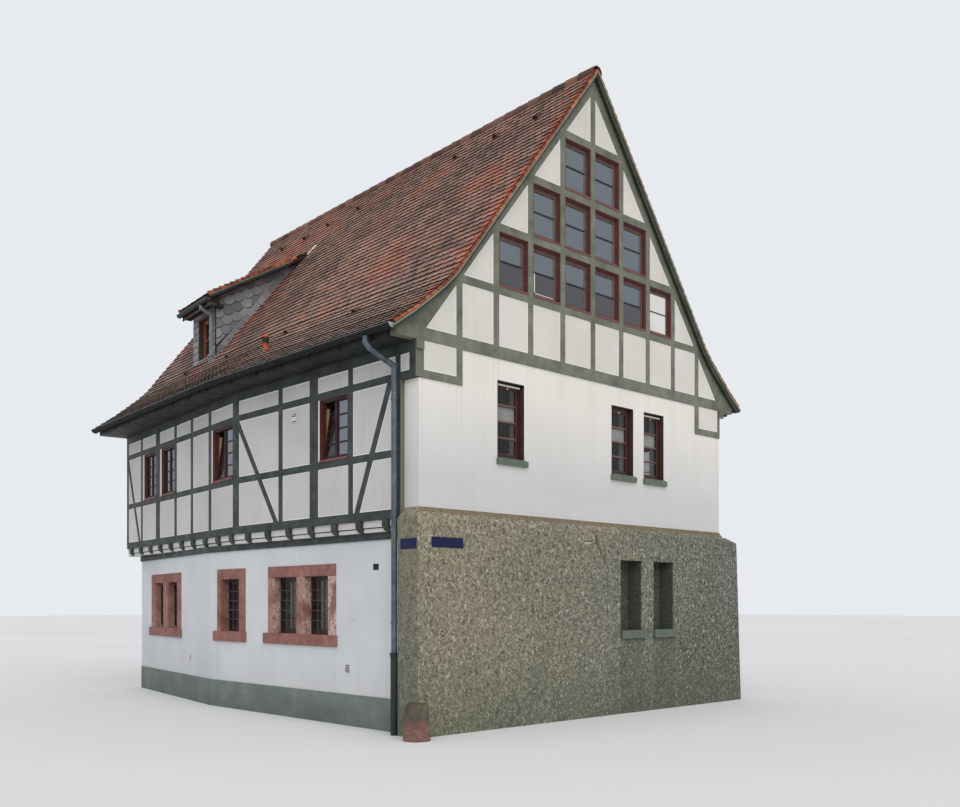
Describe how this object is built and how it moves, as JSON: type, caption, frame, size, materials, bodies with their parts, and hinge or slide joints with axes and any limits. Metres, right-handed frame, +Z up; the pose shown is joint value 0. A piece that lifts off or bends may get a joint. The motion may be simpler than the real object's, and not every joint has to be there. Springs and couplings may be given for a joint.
{
  "type": "half timbered house",
  "caption": "Half-timbered corner house: jettied timber storey and gable on a plastered masonry ground storey, under a steep tiled roof with a dormer.",
  "frame": {"origin": "centre of the plan's bounding box, on the ground", "axes": "+X out of the gable wall, +Y from the street front towards the back, +Z up"},
  "size_m": [12.606, 10.0764, 11.8498],
  "materials": {
    "plaster": "smooth off-white lime plaster",
    "infill": "off-white plastered panel, matte",
    "roughcast": "grey-beige roughcast",
    "strip": "smooth grey-green painted cement strip",
    "screed": "trowelled floor screed",
    "timber": "grey-green painted oak, worn",
    "boards": "plain sawn floor boards",
    "tiles": "mottled red-brown clay tiles",
    "ridge": "red clay ridge tiles",
    "trim": "pale grey-green painted board",
    "zinc": "dull weathered zinc",
    "iron": "dark painted cast iron",
    "slate": "blue-grey slates",
    "frame_red": "dark red painted window timber",
    "frame_brown": "orange-brown stained window timber",
    "sill": "green-grey sill covering",
    "glass": "clear window glass",
    "sandstone": "mottled red sandstone",
    "door": "dark boarded oak",
    "enamel": "blue enamel, bare",
    "stone": "rough grey stone"
  },
  "bodies": {
    "root": {"street_wall": "plaster", "gable_wall": "plaster", "gable_plinth": "roughcast", "base_strip": "strip", "rear_wall": "plaster", "back_wall": "plaster", "ground_slab": "screed", "wall_plate": "timber", "jetty_joists": "timber", "jetty_infill": "infill", "upper_floor": "boards", "attic_floor": "boards", "street_frame": "timber", "street_panels": "infill", "gable_frame": "timber", "gable_panels": "infill", "rear_frame": "timber", "rear_panels": "infill", "back_frame": "timber", "back_panels": "infill", "roof_front": "tiles", "roof_back": "tiles", "ridge_tiles": "ridge", "barge_boards": "trim", "eaves_soffits": "trim", "gutters": "zinc", "downpipe": "zinc", "downpipe_foot": "iron", "dormer_front": "slate", "dormer_cheeks": "slate", "dormer_window": "frame_brown", "dormer_roof": "tiles", "dormer_gutter": "zinc", "attic_windows": "frame_red", "attic_glass": "glass", "gable_windows": "frame_red", "gable_glass": "glass", "gable_sills": "sill", "street_windows": "frame_red", "street_glass": "glass", "ground_windows": "frame_red", "ground_glass": "glass", "stone_surrounds": "sandstone", "hidden_windows": "frame_red", "hidden_glass": "glass", "back_door": "door", "street_plates": "enamel", "vent_pipe": "ridge", "guard_stone": "stone", "wall_fittings": "iron"}
  },
  "joints": []
}
